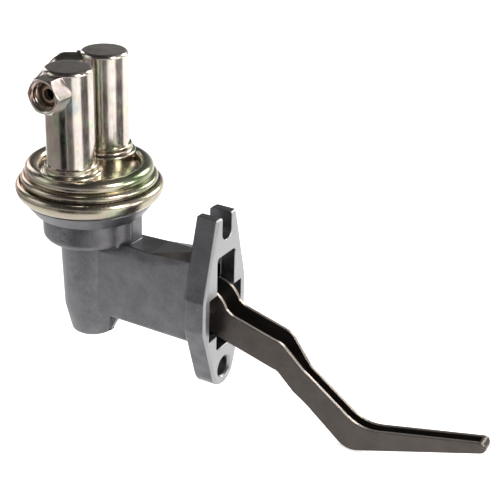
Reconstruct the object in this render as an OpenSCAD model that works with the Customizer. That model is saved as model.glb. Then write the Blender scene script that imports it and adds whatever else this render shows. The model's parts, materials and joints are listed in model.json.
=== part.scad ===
// Mechanical fuel pump with two canister ports, driven by a rocker arm.
// Origin: centre of the mounting flange's mating face, half way between its slot and its bolt hole.
// +X points out of that face towards the engine, +Z up along the diaphragm's axis.

/* [Mounting flange] */
// Thickness of the mounting flange
flange_t = 14.2; // [12:0.1:17]
// Distance from the open slot's centre to the bolt hole's centre
bolt_pitch = 84.6; // [82:0.2:90]
// Half width of the flange across its straight sides
flange_half_w = 22; // [21:0.1:26]
// Height of the flange's straight sides
flange_side_h = 19; // [15:0.5:24]
// Height of the middle of the straight sides
flange_side_z = -2.5; // [-5:0.5:2]
// Half width of the flange at the top of its two prongs
prong_half_w = 10; // [8.5:0.1:12]
// Length of the prongs above the slot's centre
prong_l = 9.4; // [7:0.1:13]
// Radius of the round foot about the bolt hole
foot_r = 11.3; // [9.5:0.1:13]
// Chamfer round the mating face
face_chamfer = 1.3; // [0.6:0.1:2]
// Chamfer round the back of the flange
back_chamfer = 1.7; // [0.6:0.1:2.5]
// Width of the open bolt slot
slot_w = 9.6; // [8:0.1:11]
// Diameter of the bolt hole
bolt_hole_d = 11.6; // [9:0.1:13]
// Diameter of the bolt hole's countersink
bolt_sink_d = 15; // [13.5:0.1:17]

/* [Rocker window] */
// Height of the top of the window above the origin
window_top = 28.9; // [26:0.1:31]
// Depth of the bottom of the window below the origin
window_bottom = 28.2; // [26:0.1:29.5]
// Half width of the window
window_half_w = 9.2; // [8.9:0.1:11]
// Depth of the wide mouth of the window
window_depth = 9; // [7:0.5:12]
// Half width of the pivot pockets beside the window
pocket_half_w = 16.7; // [14.5:0.1:18]
// Height of the pivot pockets
pocket_h = 25.5; // [18:0.5:27]
// Depth of the pivot pockets
pocket_depth = 5; // [4:0.1:5.4]

/* [Pivot] */
// Depth of the pivot's axis behind the mating face
pivot_depth = 9.5; // [9:0.1:10.5]
// Depth of the pivot's axis below the origin
pivot_drop = 6; // [4:0.1:8]
// Diameter of the pivot pin
pin_d = 9; // [7.5:0.1:9.4]
// Radial running clearance of the rocker on its pin
pin_fit = 0.05; // [0.02:0.01:0.1]

/* [Lower body] */
// Distance from the mating face to the diaphragm's axis
reach = 91.1; // [88:0.1:98]
// Radius of the drum under the diaphragm
drum_r = 27.4; // [26:0.1:30]
// Height of the drum's lower edge
drum_bottom = 17.5; // [16:0.1:19]
// Width of the ledge above the drum
ledge_w = 4.5; // [3.5:0.1:5.5]
// Height of the ledge's lower edge
ledge_z = 34.1; // [33:0.1:36]
// Wall thickness of the drum
drum_wall = 3.4; // [2.8:0.1:5]
// Height of the spring chamber's floor
chamber_floor = 26; // [24.5:0.1:27]
// Height of the diaphragm seat
seat_z = 48.4; // [47.5:0.1:50]
// Radius of the tall spring boss just under the drum
boss_top_r = 17.9; // [16.5:0.1:20]
// Radius of the boss where its end begins to taper
boss_low_r = 16.6; // [15:0.1:18]
// Radius of the flat end of the boss
boss_end_r = 10.5; // [8:0.1:12]
// Depth of the boss's end below the origin
boss_depth = 43.5; // [42.5:0.5:52]
// Radius of the bore for the rocker spring
boss_bore_r = 10.8; // [10.6:0.1:11.6]
// Thickness of the boss's closed end
boss_end_t = 7.5; // [6:0.1:8]
// Half width of the hollow arm between the drum and the flange
arm_half_w = 11.5; // [11.3:0.1:13]
// Depth of the arm's underside below the origin
arm_bottom = 27.3; // [26.5:0.1:28.5]
// Height of the shelf on the arm beside the neck
shelf_z = 21.2; // [20.5:0.1:23]
// Half width of the shelf where it is widest
shelf_half_w = 10; // [8:0.1:11]
// Rise of the arm's ridge from the shelf to the flange
ridge_rise = 5.2; // [3:0.1:6]
// Height of the arm's shoulders beside the drum
shoulder_z = 13.9; // [11:0.1:16]
// Rise of the shoulders from there to the flange
shoulder_rise = 9.8; // [6:0.1:11]
// Wall thickness of the arm
arm_wall = 2.9; // [2:0.1:3.2]
// Distance from the drum's side to the neck's flat face
neck_l = 4.9; // [3:0.1:8]
// Half width of the neck
neck_half_w = 6; // [5:0.1:9]

/* [Diaphragm] */
// Distance from the towers' raised bases out to the edge of the clamped rim
rim_margin = 4.7; // [4:0.1:6]
// Thickness of the diaphragm
diaphragm_t = 1.4; // [0.8:0.1:2]
// Height of the diaphragm's middle above its seat at rest
diaphragm_lift = 5.6; // [5:0.1:5.8]
// Radial gap between the lower diaphragm plate and the drum's wall
plate_gap = 0.5; // [0.4:0.1:4]
// Thickness of the diaphragm plates
plate_t = 1.1; // [0.8:0.1:1.3]
// Diameter of the pull rod
rod_d = 6; // [5:0.1:6.4]
// Radius of the pull rod's button head
rod_head_r = 5.2; // [4.6:0.1:5.4]
// Height of the rocker's web above the origin, at the pull rod
web_z = 6; // [5:0.1:7]

/* [Cover] */
// Thickness of the stamped cover
cover_t = 1.2; // [0.8:0.1:1.4]
// Distance from the edge of the rim in to the middle of the cover's round ridge
ridge_inset = 8.3; // [7.2:0.1:9]
// Section radius of the ridge
ridge_section_r = 4.3; // [3.6:0.1:4.6]
// Height of the ridge's middle above the diaphragm's seat
ridge_h = 10.8; // [10.4:0.1:12]
// Depth of the groove between the ridge and the bead below it
groove_depth = 0.7; // [0.3:0.1:1.5]
// How far the lower bead stands out past the ridge
bead_out = 2.3; // [1.5:0.1:2.6]
// Section radius of the lower bead
bead_section_r = 2.5; // [2:0.1:2.8]
// Height of the lower bead's middle above the diaphragm's seat
bead_h = 5.7; // [5.2:0.1:6.4]
// Height of the basin's floor above the diaphragm's seat
basin_h = 11.2; // [11:0.1:12.5]
// Thickness of the crimp ring round the rim
ring_side_t = 1.6; // [1.2:0.1:2]
// Radius of the crimp ring's lower curl
ring_curl_r = 7.4; // [6.8:0.1:8]
// Thickness of the crimp ring's lower lip
ring_t = 1.2; // [0.9:0.1:1.5]

/* [Canister towers] */
// Distance from the diaphragm's axis to each tower's axis
tower_offset = 18.5; // [18:0.1:19.5]
// Angle by which the line of the towers is turned
tower_turn = 5.3; // [0:0.1:12]
// Outer radius of a tower
tower_r = 13.46; // [12.6:0.02:13.6]
// Sheet thickness of a tower
tower_t = 1.1; // [0.8:0.1:1.4]
// Height of a tower above its collar
tower_h = 54.2; // [48:0.1:70]
// Height of the collar round a tower's foot above the diaphragm's seat
collar_h = 19.8; // [19.2:0.1:21]
// Width of the collar's rim round the tower
collar_w = 1.34; // [1.24:0.02:1.8]
// Width of the raised base round the collar
base_w = 2.4; // [2.2:0.1:2.8]

/* [Ports] */
// Distance from the tower's top down to the outlet fitting
outlet_drop = 11.1; // [10:0.1:20]
// Distance from the tower's side to the outlet's face
outlet_reach = 8.74; // [8.4:0.02:12]
// Width across the flats of the outlet hexagon
hex_af = 18.5; // [17.5:0.1:20]
// Radius of the outlet's thread bore
port_r = 7.2; // [6.6:0.1:7.5]
// Depth of the outlet's thread bore
port_depth = 8.2; // [7.6:0.1:8.4]
// Radius of the flow passage through the outlet
passage_r = 3.3; // [2.4:0.1:3.6]
// Distance from the tower's top down to the inlet tube
inlet_drop = 6.3; // [6:0.1:16]
// Direction of the inlet tube, turned from -X towards -Y
inlet_turn = 37; // [25:1:42]
// Outer diameter of the inlet tube
inlet_d = 9.5; // [8:0.1:9.6]
// Bore of the inlet tube
inlet_bore = 7.1; // [5.5:0.1:7.5]
// Distance from the tower's side to the inlet tube's bend
inlet_reach = 7.34; // [6.4:0.02:10]
// Radius of the bend's centre line
inlet_bend_r = 6.2; // [6:0.1:10]
// Angle by which the tube bends down
inlet_bend = 49; // [30:1:60]
// Length of the tube below the bend
inlet_leg = 17; // [14:0.5:24]

/* [Rocker arm] */
// Thickness of the pressed sheet
sheet_t = 2; // [1.5:0.1:2.2]
// Half width of the arm at its pivot
rocker_half_w = 8; // [7.7:0.1:8.1]
// Half width of the arm's nose
nose_half_w = 4.5; // [3.8:0.1:5.5]
// Radius of the hub round the pivot
hub_r = 15.5; // [13:0.1:15.6]
// Distance from the mating face to the tip of the nose
nose_reach = 157; // [152:0.5:165]
// Radius of the nose's tip
nose_tip_r = 2.6; // [2:0.1:3]

/* [Springs] */
// Wire diameter of the rocker spring
rocker_wire = 1.8; // [1.4:0.1:1.9]
// Turns of the rocker spring
rocker_turns = 8; // [6:1:9]
// Radius of the diaphragm spring to the middle of its wire
diaphragm_coil_r = 12; // [11:0.1:13]
// Wire diameter of the diaphragm spring
diaphragm_wire = 2; // [1.4:0.1:2.4]
// Turns of the diaphragm spring
diaphragm_turns = 4; // [3:1:6]
// Lift of the two valve discs
valve_lift = 1.5; // [1:0.1:1.8]

/* [Hidden] */

$fn = 96;
cut = 1;
thin = 0.02;
axis_x = -reach;
pivot = [-pivot_depth, -pivot_drop];
slot_z = bolt_pitch / 2;
hole_z = -bolt_pitch / 2;
pin_l = 2 * pocket_half_w - 0.4;
seat_gap = 0.05;

// Radii that follow one another from the towers out to the crimp ring
collar_r = tower_r + collar_w;
base_r = collar_r + base_w;
rim_r = tower_offset + base_r + rim_margin;
ring_r = rim_r + ring_side_t;
ridge_mid_r = rim_r - ridge_inset;
groove_r = ridge_mid_r + ridge_section_r - groove_depth;
bead_mid_r = ridge_mid_r + ridge_section_r + bead_out - bead_section_r;
skirt_wall_r = bead_mid_r + bead_section_r - 0.3;
outlet_l = tower_r + outlet_reach;
inlet_run = tower_r + inlet_reach;

// Radii that follow from the drum's
ledge_r = drum_r + ledge_w;
chamber_r = drum_r - drum_wall;
plate_r = chamber_r - plate_gap;
neck_reach = drum_r + neck_l;

// Heights of the cover, its towers and their ports
ridge_z = seat_z + ridge_h;
basin_z = seat_z + basin_h;
bead_z = seat_z + bead_h;
collar_top = seat_z + collar_h;
tower_top = collar_top + tower_h;
outlet_z = tower_top - outlet_drop;
inlet_z = tower_top - inlet_drop;

// Heights of the clamped stack, from the casting up to the cover's flange
diaphragm_top = seat_z + diaphragm_t;
flange_top = diaphragm_top + cover_t;

// Heights of the moving stack at rest
lift_z = seat_z + diaphragm_lift;
lower_plate_z = lift_z - plate_t;
upper_plate_z = lift_z + diaphragm_t;
rivet_z = upper_plate_z + plate_t;
rivet_h = 1.4;
web_gap = 0.35;
head_top = web_z - web_gap;
head_h = 3;

// Seal and spring seats in the drum
seal_h = 2.9;
seal_r = 9.95;
retainer_h = 1.2;
cavity_top = chamber_floor - 9;
cavity_half_w = arm_half_w - arm_wall;
cavity_bottom = -arm_bottom + 3.1;
boss_floor = -boss_depth + boss_end_t;

// Cup between the rocker's web and its spring
cup_gap = 0.6;
cup_t = 1.4;
cup_top = web_z - cup_gap;
cup_bore_r = rod_head_r + 0.7;
cup_r = boss_bore_r - 0.5;
skirt_r = cup_bore_r + 1.2;
skirt_h = 7;
rocker_spring_r = (skirt_r + cup_r) / 2 + 0.1;

// Tower axes and the inside of a raised base
tower_dir = [sin(tower_turn), -cos(tower_turn)];
outlet_axis = [axis_x, 0] + tower_offset * tower_dir;
inlet_axis = [axis_x, 0] - tower_offset * tower_dir;
base_top = collar_top - 3.7;
base_under = base_top - cover_t;
tower_foot_t = 1.1;
tower_foot = base_under - tower_foot_t;
tower_bore_r = tower_r - tower_t;

// Thread and seat bore of the outlet
thread_l = port_depth - 3;
seat_bore_r = port_r - 0.5;

// Valve cages, pressed into the towers' feet
cage_t = 2.2;
cage_z = tower_foot + 0.6;
cage_r = tower_bore_r - 0.03;
stem_r = 1.2;
disc_t = 0.8;
disc_r = tower_bore_r - 4.36;
valve_port_r = (disc_r - stem_r) / 4;
disc_gap = 0.1;
stem_l = 5.6;
stem_head_t = 0.7;
stem_head_r = 2.9;
valve_wire = 0.5;

// Slope of the rocker's web at rest, level at the middle of its stroke
tail_slope = 2.5;
tail_end = axis_x - 5.4;
tail_half_w = rocker_half_w - 0.5;
tail_h = 6.5;

// Points of an arc
function arc(c, r, a0, a1, n) =
    [for (i = [0:n]) c + r * [cos(a0 + (a1 - a0) * i / n), sin(a0 + (a1 - a0) * i / n)]];

function unit(v) = v / norm(v);
function flat(p) = [p[0], p[1]];
function turn(a) = a > 180 ? a - 360 : a < -180 ? a + 360 : a;

// Arc that rounds corner b between a and c, whose third number is its radius
function corner(a, b, c) =
    let (u = unit(flat(a) - flat(b)), v = unit(flat(c) - flat(b)), half = acos(u * v) / 2)
    let (m = flat(b) + unit(u + v) * b[2] / sin(half))
    let (s = flat(b) + u * b[2] / tan(half) - m, e = flat(b) + v * b[2] / tan(half) - m)
    let (a0 = atan2(s[1], s[0]), sweep = turn(atan2(e[1], e[0]) - a0))
    arc(m, b[2], a0, a0 + sweep, max(2, ceil(abs(sweep) / 9)));

// Closed outline whose corners are rounded by their own radii
function rounded(pts) =
    let (n = len(pts))
    [for (i = [0:n - 1], q = pts[i][2] == 0 ? [flat(pts[i])]
        : corner(pts[(i + n - 1) % n], pts[i], pts[(i + 1) % n])) q];

// Open path moved to its left by t, each corner on the crossing of its moved sides
function normal_at(pts, i) =
    let (d = unit(flat(pts[i + 1]) - flat(pts[i]))) [-d[1], d[0]];
function moved(pts, t) =
    [for (i = [0:len(pts) - 1])
        let (a = normal_at(pts, max(0, i - 1)), b = normal_at(pts, min(len(pts) - 2, i)))
        let (p = flat(pts[i]) + t * (a + b) / (1 + a * b)) [p[0], p[1], pts[i][2]]];

// Point where a line from p touches the circle about c, on the side of the given sign
function tangent(p, c, r, side) =
    let (d = p - c, a = atan2(d[1], d[0]) + side * acos(r / norm(d)))
    c + r * [cos(a), sin(a)];

// Outline in Y and Z, extruded along +X from x0
module along_x(x0, l) {
    translate([x0, 0, 0]) rotate([90, 0, 90]) linear_extrude(l) children();
}

// Outline in X and Z, extruded both ways along Y
module across_y(w) {
    rotate([90, 0, 0]) linear_extrude(2 * w, center = true) children();
}

// Round bar along Y
module bar_y(r, l) {
    rotate([90, 0, 0]) cylinder(r = r, h = l, center = true);
}

// Helical spring with its axis along Z, its ends touching z0 and z1
module coil(r, wire, z0, z1, turns, sides, steps) {
    n = turns * steps;
    low = z0 + wire / 2 + seat_gap;
    rise = z1 - z0 - wire - 2 * seat_gap;
    points = [for (i = [0:n], k = [0:sides - 1])
        let (a = 360 * i / steps, b = 360 * k / sides, q = r + wire / 2 * cos(b))
        [q * cos(a), q * sin(a), low + rise * i / n + wire / 2 * sin(b)]];
    walls = [for (i = [0:n - 1], k = [0:sides - 1])
        let (j = (k + 1) % sides)
        [(i + 1) * sides + k, (i + 1) * sides + j, i * sides + j, i * sides + k]];
    ends = [[for (k = [0:sides - 1]) k], [for (k = [0:sides - 1]) n * sides + sides - 1 - k]];
    polyhedron(points, concat(walls, ends));
}

// Flange outline, drawn in by e at its sides and foot
module flange_outline(e) {
    side = flange_half_w - e;
    foot = foot_r - e;
    hole = [0, hole_z];
    low = [side, flange_side_z - flange_side_h / 2];
    touch = tangent(low, hole, foot, -1);
    top = slot_z + prong_l - 0.6 * e;
    polygon(rounded([
            [prong_half_w - e, top, 0], [-prong_half_w + e, top, 0],
            [-side, flange_side_z + flange_side_h / 2, 7], [-side, low[1], 7],
            [-touch[0], touch[1], 0], [touch[0], touch[1], 0],
            [side, low[1], 7], [side, flange_side_z + flange_side_h / 2, 7]]));
    translate(hole) circle(foot);
}

module flange_plate() {
    hull() {
        along_x(-flange_t, thin) flange_outline(back_chamfer);
        along_x(-flange_t + back_chamfer, flange_t - back_chamfer - face_chamfer) flange_outline(0);
        along_x(-thin, thin) flange_outline(face_chamfer);
    }
}

// Section of the arm's roof: a shelf of half width w at height h over two sloping shoulders
module roof_section(x, w, h, shoulder_h) {
    along_x(x, thin) polygon([
        [-arm_half_w, 0], [arm_half_w, 0], [arm_half_w, shoulder_h], [w, h], [-w, h],
        [-arm_half_w, shoulder_h]]);
}

// Hollow arm, whose roof is widest half way and runs up to a narrow ridge at the flange
module arm_shell() {
    drum_x = axis_x + 22;
    wide_x = axis_x + 48;
    along_x(axis_x, reach - 1) polygon(rounded([
        [-arm_half_w, 10, 0], [-arm_half_w, -arm_bottom, 3],
        [arm_half_w, -arm_bottom, 3], [arm_half_w, 10, 0]]));
    along_x(axis_x, drum_x - axis_x + thin) polygon([
        [-arm_half_w, 0], [arm_half_w, 0], [arm_half_w, shoulder_z],
        [shelf_half_w - 2, shelf_z], [-shelf_half_w + 2, shelf_z], [-arm_half_w, shoulder_z]]);
    hull() {
        roof_section(drum_x, shelf_half_w - 2, shelf_z, shoulder_z);
        roof_section(wide_x, shelf_half_w, shelf_z, shoulder_z);
    }
    hull() {
        roof_section(wide_x, shelf_half_w, shelf_z, shoulder_z);
        roof_section(-flange_t, 0.8, shelf_z + ridge_rise, shoulder_z + shoulder_rise);
    }
}

module drum() {
    translate([axis_x, 0, 0]) rotate_extrude() polygon(concat(
        [[0, seat_z], [rim_r, seat_z], [rim_r, seat_z - 0.8], [rim_r - 2.1, seat_z - 3.9],
            [rim_r - 3, seat_z - 4.8], [rim_r - 3, seat_z - 5.6], [rim_r - 2.2, seat_z - 6.1],
            [ledge_r, ledge_z], [drum_r, ledge_z]],
        arc([drum_r - 4, drum_bottom + 4], 4, 0, -80, 8),
        [[boss_top_r, drum_bottom - 1.5], [boss_low_r, -arm_bottom + 1]],
        arc([boss_end_r, -boss_depth + 3], 3, -35, -90, 5),
        [[0, -boss_depth]]));
}

// Block between the drum and the arm's shelf, with a hollow sweep into the drum on each side
module neck() {
    side = [[0, 10.5], [25, 10.5], [neck_reach - 4.5, neck_half_w + 1.1], [neck_reach - 2.6, neck_half_w]];
    front = [[neck_reach - 1.2, neck_half_w], [neck_reach, neck_half_w - 1.2]];
    half = concat(side, front);
    translate([axis_x, 0, drum_bottom + 1]) linear_extrude(ledge_z - drum_bottom + 0.5)
        polygon(concat(half, [for (i = [len(half) - 1:-1:0]) [half[i][0], -half[i][1]]]));
}

// Rib in the corner between the boss and the arm's underside
module rib() {
    across_y(1.8) polygon([
        [axis_x + 8, -arm_bottom + 1], [axis_x + 22, -arm_bottom + 1],
        [axis_x + 13, -boss_depth + 1.2], [axis_x + 8, -boss_depth + 1.2]]);
}

// Everything that is taken out of the casting
module casting_hollows() {
    translate([axis_x, 0, 0]) rotate_extrude() polygon([
        [0, chamber_floor], [chamber_r, chamber_floor], [chamber_r, seat_z - 9.5],
        [rim_r - 6.9, seat_z - 2], [rim_r - 6.9, seat_z + cut], [0, seat_z + cut]]);
    translate([axis_x, 0, cavity_top - cut]) cylinder(r = rod_d / 2 + 0.3, h = 8 + 2 * cut);
    translate([axis_x, 0, chamber_floor - seal_h - 0.1]) cylinder(r = seal_r + 0.03, h = seal_h + cut);
    translate([axis_x, 0, boss_floor]) cylinder(r = boss_bore_r, h = cavity_top - boss_floor);
    along_x(axis_x, reach + cut) polygon([
        [-cavity_half_w, cavity_bottom], [cavity_half_w, cavity_bottom],
        [cavity_half_w, cavity_top], [-cavity_half_w, cavity_top]]);
    along_x(-window_depth, window_depth + cut) polygon(rounded([
        [window_half_w, window_top, 2], [-window_half_w, window_top, 2],
        [-window_half_w + 0.6, -window_bottom, 2], [window_half_w - 0.6, -window_bottom, 2]]));
    pivot_pockets();
    translate([-flange_t - cut, 0, hole_z]) rotate([0, 90, 0])
        cylinder(d = bolt_hole_d, h = flange_t + 2 * cut);
    translate([0, 0, hole_z]) rotate([0, 90, 0])
        cylinder(d1 = bolt_hole_d - 0.1, d2 = bolt_sink_d + 2 * cut, h = 3.4, center = true);
    translate([-flange_t - cut, 0, slot_z]) rotate([0, 90, 0])
        cylinder(d = slot_w, h = flange_t + 2 * cut);
    translate([-flange_t - cut, -slot_w / 2, slot_z])
        cube([flange_t + 2 * cut, slot_w, prong_l + cut]);
}

// Pockets in the mating face, and the half round seat behind them that holds the pin
module pivot_pockets() {
    translate([-pocket_depth, -pocket_half_w, pivot[1] - pocket_h / 2])
        cube([pocket_depth + cut, 2 * pocket_half_w, pocket_h]);
    translate([pivot[0], 0, pivot[1]]) bar_y(pin_d / 2 + 0.02, 2 * pocket_half_w);
    translate([pivot[0], -pocket_half_w, pivot[1] - pin_d / 2 - 0.02])
        cube([pivot_depth - pocket_depth + cut, 2 * pocket_half_w, pin_d + 0.04]);
}

// Metal peened over the pin's ends, and the stop above the rocker's tail
module stakes() {
    for (side = [-1, 1], rise = [-1, 1])
        translate([-pocket_depth - 0.2, side * (pocket_half_w - 3.6) - 1.6, pivot[1] + rise * 4.4 - 1.7])
            cube([1.2, 3.2, 3.4]);
}

module rest_stop() {
    translate([axis_x + 30, -cavity_half_w - 0.5, tail_top(axis_x + 34) + 0.45])
        cube([6, 2 * cavity_half_w + 1, cavity_top + 1 - tail_top(axis_x + 34) - 0.45]);
}

module lower_body() {
    color("slategray") {
        difference() {
            union() {
                drum();
                arm_shell();
                neck();
                rib();
                flange_plate();
            }
            casting_hollows();
        }
        difference() {
            stakes();
            translate([pivot[0], 0, pivot[1]]) bar_y(pin_d / 2 + 0.02, 4 * pocket_half_w);
        }
        rest_stop();
    }
}

// Rolled ring: a tight curl over the cover's flange and a wider one under the casting's rim
module crimp_ring() {
    mid = seat_z + 0.8;
    low = ring_r - ring_curl_r;
    high = ring_r - 3.1;
    color("darkkhaki") translate([axis_x, 0, 0]) rotate_extrude() polygon(concat(
        arc([high, mid], 3.1, 75, 0, 8),
        arc([low, mid], ring_curl_r, -6, -57, 9),
        arc([low, mid], ring_curl_r - ring_t, -57, -14, 8),
        [[rim_r + 0.1, flange_top + seat_gap], [high + 0.8, flange_top + seat_gap]]));
}

// Section of the cover's dome with its ridge and the bead below it, drawn in by e
module dome_section(e) {
    square([groove_r - e, ridge_z]);
    square([ridge_mid_r, basin_z - e]);
    translate([ridge_mid_r, ridge_z]) circle(ridge_section_r - e);
    translate([bead_mid_r, bead_z]) circle(bead_section_r - e);
    square([skirt_wall_r - e, bead_z]);
}

module cover_flange_section() {
    translate([skirt_wall_r - cover_t, diaphragm_top]) square([rim_r - skirt_wall_r + cover_t, cover_t]);
}

module on_tower(axis) {
    translate([axis[0], axis[1], 0]) children();
}

// Raised base and collar that carry one tower
module tower_base_outer() {
    rotate_extrude() polygon(concat(
        [[0, diaphragm_top + 1], [base_r, diaphragm_top + 1]],
        arc([base_r - 1.4, base_top - 1.4], 1.4, 0, 90, 6),
        arc([collar_r + 1.4, base_top + 1.4], 1.4, 270, 180, 6),
        arc([collar_r - 0.6, collar_top - 0.6], 0.6, 0, 90, 3),
        [[0, collar_top]]));
}

module tower_base_inner() {
    translate([0, 0, diaphragm_top - cut])
        cylinder(r = base_r - cover_t, h = base_under - diaphragm_top + cut);
    translate([0, 0, base_under - cut])
        cylinder(r = tower_r + 0.04, h = collar_top - base_under + 2 * cut);
}

module upper_cover() {
    color("darkkhaki") difference() {
        union() {
            translate([axis_x, 0, 0]) rotate_extrude() difference() {
                union() {
                    dome_section(0);
                    cover_flange_section();
                }
                translate([0, -cut]) square([rim_r + cut, diaphragm_top + cut]);
            }
            on_tower(outlet_axis) tower_base_outer();
            on_tower(inlet_axis) tower_base_outer();
        }
        translate([axis_x, 0, 0]) rotate_extrude() dome_section(cover_t);
        on_tower(outlet_axis) tower_base_inner();
        on_tower(inlet_axis) tower_base_inner();
    }
}

// Drawn can, open at its foot, with a foot flange under the cover
module tower_can() {
    round_r = 2.2;
    rotate_extrude() difference() {
        polygon(concat(
            [[0, tower_foot], [tower_r + 1.6, tower_foot], [tower_r + 1.6, base_under - seat_gap],
                [tower_r, base_under - seat_gap]],
            arc([tower_r - round_r, tower_top - round_r], round_r, 0, 90, 8),
            [[0, tower_top]]));
        polygon(concat(
            [[-cut, tower_foot - cut], [tower_bore_r, tower_foot - cut]],
            arc([tower_bore_r - 1.2, tower_top - tower_t - 1.2], 1.2, 0, 90, 5),
            [[-cut, tower_top - tower_t]]));
    }
}

// Places its children on a line out of the outlet tower towards -Y, with +Z along that line
module outlet_frame() {
    translate([outlet_axis[0], outlet_axis[1], outlet_z]) rotate([90, 0, 0]) children();
}

// The same for the inlet, with +X along the tube
module inlet_frame() {
    translate([inlet_axis[0], inlet_axis[1], inlet_z]) rotate([0, 0, 180 + inlet_turn]) children();
}

module outlet_tower() {
    color("silver") difference() {
        on_tower(outlet_axis) tower_can();
        outlet_frame() cylinder(r = passage_r + 1.7, h = tower_r + cut);
    }
}

module inlet_tower() {
    color("silver") difference() {
        on_tower(inlet_axis) tower_can();
        inlet_frame() rotate([0, 90, 0]) cylinder(r = inlet_bore / 2, h = tower_r + cut);
    }
}

module outlet_fitting() {
    hex_r = hex_af / sqrt(3);
    rim = hex_af / 2;
    color("silver") difference() {
        outlet_frame() intersection() {
            translate([0, 0, tower_r - 3]) cylinder(r = hex_r, h = outlet_l - tower_r + 3, $fn = 6);
            rotate_extrude() polygon([
                [0, 0], [hex_r + 1, 0], [hex_r + 1, outlet_l - 0.6 * (hex_r + 1 - rim)],
                [rim, outlet_l], [0, outlet_l]]);
        }
        on_tower(outlet_axis) cylinder(r = tower_r + 0.02, h = tower_top);
        outlet_frame() translate([0, 0, outlet_l - thread_l]) cylinder(r = port_r, h = thread_l + cut);
        outlet_frame() translate([0, 0, outlet_l - port_depth]) cylinder(r = seat_bore_r, h = port_depth);
        outlet_frame() translate([0, 0, outlet_l - 1.1])
            cylinder(r1 = port_r, r2 = port_r + 2, h = 2);
        outlet_frame() cylinder(r = passage_r, h = outlet_l);
    }
    color("silver") outlet_frame() difference() {
        translate([0, 0, tower_r - tower_t - 1])
            cylinder(r = passage_r + 1.65, h = outlet_l - port_depth - tower_r + tower_t + 0.8);
        cylinder(r = passage_r, h = outlet_l);
    }
}

module flare_seat() {
    base = outlet_l - port_depth + seat_gap;
    color("darkkhaki") outlet_frame() rotate_extrude() polygon([
        [passage_r, base], [seat_bore_r - 0.03, base], [seat_bore_r - 0.03, base + 0.5],
        [passage_r + 1, base + 2.7], [passage_r, base + 2.7]]);
}

// Places its children at the end of the bend, with +Z along the tube's leg
module leg_frame() {
    translate([inlet_run, 0, -inlet_bend_r]) rotate([0, inlet_bend, 0]) translate([0, 0, inlet_bend_r])
        rotate([0, 90, 0]) children();
}

// Straight run, bend and leg of the inlet tube
module bent_tube() {
    foot = tower_r - 3;
    rotate([0, 90, 0]) translate([0, 0, foot]) tube_length(inlet_run - foot, 0);
    rotate([0, 90, 0]) translate([0, 0, inlet_run - 0.4]) tube_length(0.8, 0.05);
    translate([inlet_run, 0, -inlet_bend_r]) rotate([90, 0, 0]) rotate([0, 0, 90 - inlet_bend])
        rotate_extrude(angle = inlet_bend) translate([inlet_bend_r, 0]) difference() {
            circle(inlet_d / 2);
            circle(inlet_bore / 2);
        }
    leg_frame() translate([0, 0, -0.4]) tube_length(0.8, 0.05);
    leg_frame() tube_length(inlet_leg, 0);
}

// Length of tube whose wall is drawn in by e on both sides
module tube_length(l, e) {
    difference() {
        cylinder(r = inlet_d / 2 - e, h = l);
        translate([0, 0, -cut]) cylinder(r = inlet_bore / 2 + e, h = l + 2 * cut);
    }
}

// Brazed foot at the tower
module inlet_foot() {
    rotate([0, 90, 0]) translate([0, 0, tower_r - 3]) difference() {
        cylinder(r = inlet_d / 2 + 0.9, h = 4.6);
        translate([0, 0, -cut]) cylinder(r = inlet_d / 2 - 0.2, h = 6.6);
    }
}

module inlet_tube() {
    color("silver") difference() {
        inlet_frame() {
            bent_tube();
            inlet_foot();
        }
        on_tower(inlet_axis) cylinder(r = tower_r + 0.02, h = 2 * tower_top);
    }
}

module main_diaphragm() {
    color("dimgray") translate([axis_x, 0, 0]) rotate_extrude() polygon([
        [rod_d / 2 + 0.05, lift_z], [plate_r + 1, lift_z], [rim_r - 8.6, seat_z], [rim_r - 0.05, seat_z],
        [rim_r - 0.05, diaphragm_top], [rim_r - 8, diaphragm_top],
        [plate_r + 1.6, upper_plate_z], [rod_d / 2 + 0.05, upper_plate_z]]);
}

module upper_plate() {
    color("lightgray") translate([axis_x, 0, 0]) rotate_extrude() polygon([
        [rod_d / 2 + 0.05, upper_plate_z], [plate_r - 2, upper_plate_z],
        [plate_r - 2, upper_plate_z + plate_t], [rod_d / 2 + 0.05, upper_plate_z + plate_t]]);
}

module lower_plate() {
    color("lightgray") translate([axis_x, 0, 0]) rotate_extrude() polygon(concat(
        [[rod_d / 2 + 0.05, lift_z], [rod_d / 2 + 0.05, lower_plate_z], [plate_r - 1.4, lower_plate_z]],
        arc([plate_r - 1.4, lower_plate_z - 1.4], 1.4, 90, 0, 4),
        arc([plate_r - 1.4, lower_plate_z - 1.4], 1.4 + plate_t, 0, 90, 5)));
}

module pull_rod() {
    color("gray") translate([axis_x, 0, 0]) {
        translate([0, 0, head_top - head_h]) cylinder(r = rod_head_r, h = head_h);
        translate([0, 0, head_top - 1]) cylinder(d = rod_d, h = rivet_z - head_top + 1);
        translate([0, 0, rivet_z]) rotate_extrude() polygon([
            [0, 0], [rod_d / 2 + 1.8, 0], [rod_d / 2 + 1.2, rivet_h * 0.7],
            [rod_d / 2, rivet_h], [0, rivet_h]]);
    }
}

module diaphragm_spring() {
    foot = chamber_floor + retainer_h;
    color("gray") translate([axis_x, 0, 0])
        coil(diaphragm_coil_r, diaphragm_wire, foot, lower_plate_z, diaphragm_turns, 8, 20);
}

module oil_seal() {
    color("black") translate([axis_x, 0, chamber_floor - seal_h]) rotate_extrude() polygon([
        [rod_d / 2 + 0.05, 1], [rod_d / 2 + 1.2, 0], [seal_r, 0], [seal_r, seal_h - 0.05],
        [rod_d / 2 + 1.6, seal_h - 0.05], [rod_d / 2 + 0.05, 1.9]]);
}

module seal_retainer() {
    color("gray") translate([axis_x, 0, chamber_floor]) difference() {
        cylinder(r = seal_r + 5, h = retainer_h);
        translate([0, 0, -cut]) cylinder(r = rod_d / 2 + 1, h = retainer_h + 2 * cut);
    }
}

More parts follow.
